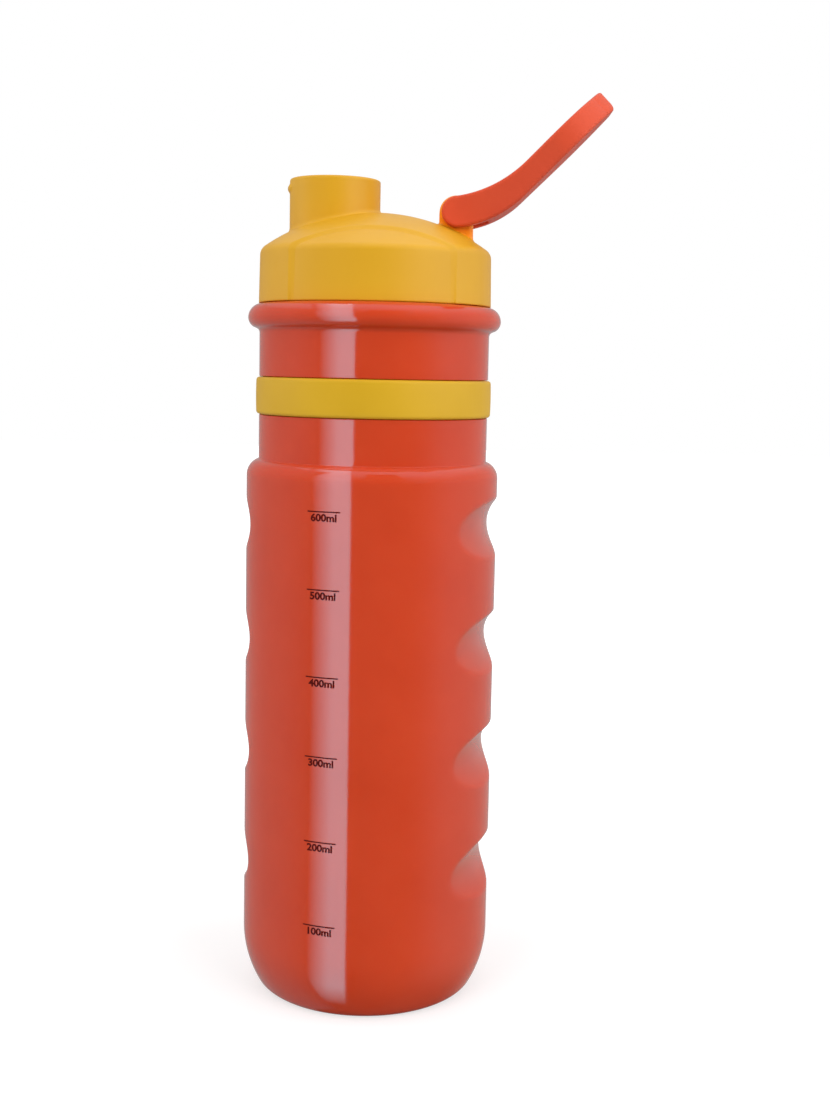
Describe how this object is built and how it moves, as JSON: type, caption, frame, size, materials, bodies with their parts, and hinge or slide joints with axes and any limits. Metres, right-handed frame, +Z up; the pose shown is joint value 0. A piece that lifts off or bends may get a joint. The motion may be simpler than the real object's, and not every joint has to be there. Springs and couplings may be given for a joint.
{
  "type": "sports squeeze bottle",
  "caption": "Squeeze drinking bottle with finger grooves, a neck band, a domed screw cap, a round spout under a hinged flip lid and an ice tube inside.",
  "frame": {"origin": "on the bottle's axis, in the plane of its standing ring", "axes": "+Z up along the bottle's axis; the spout is towards -X and the lid's hinge towards +X"},
  "size_m": [0.1043, 0.074, 0.2655],
  "materials": {
    "bottle_orange": "semi-gloss blow-moulded polyethylene",
    "band_yellow": "matte silicone",
    "cap_yellow": "fine matte moulded polypropylene",
    "lid_orange": "satin moulded polypropylene",
    "seal_silicone": "matte translucent silicone",
    "tube_milky": "milky moulded polypropylene"
  },
  "bodies": {
    "bottle": {"bottle_body": "bottle_orange", "grip_band": "band_yellow"},
    "seal": {"cap_gasket": "seal_silicone"},
    "cap": {"screw_cap": "cap_yellow"},
    "lid": {"flip_lid": "lid_orange", "lid_seal": "seal_silicone"},
    "stopper": {"ice_tube_stopper": "tube_milky", "stopper_o_ring": "seal_silicone"},
    "tube": {"ice_tube": "tube_milky"}
  },
  "joints": [
    {"name": "cap_lift", "type": "slide", "parent": "bottle", "child": "seal", "axis": [0, 0, 1], "range_m": [0, 0.006]},
    {"name": "cap_turn", "type": "hinge", "parent": "seal", "child": "cap", "pos_m": [0, 0, 0.2041], "axis": [0, 0, 1], "range_deg": [0, 540]},
    {"name": "lid_hinge", "type": "hinge", "parent": "cap", "child": "lid", "pos_m": [0.0231, 0, 0.23056], "axis": [0, -1, 0], "range_deg": [-25, 135]},
    {"name": "stick_pull", "type": "slide", "parent": "cap", "child": "stopper", "axis": [0, 0, -1], "range_m": [0, 0.01]},
    {"name": "tube_pull", "type": "slide", "parent": "stopper", "child": "tube", "axis": [0, 0, -1], "range_m": [0, 0.01]}
  ],
  "couplings": [
    {"joint": "cap_lift", "follows": "cap_turn", "m_per_rad": 0.0006366}
  ]
}
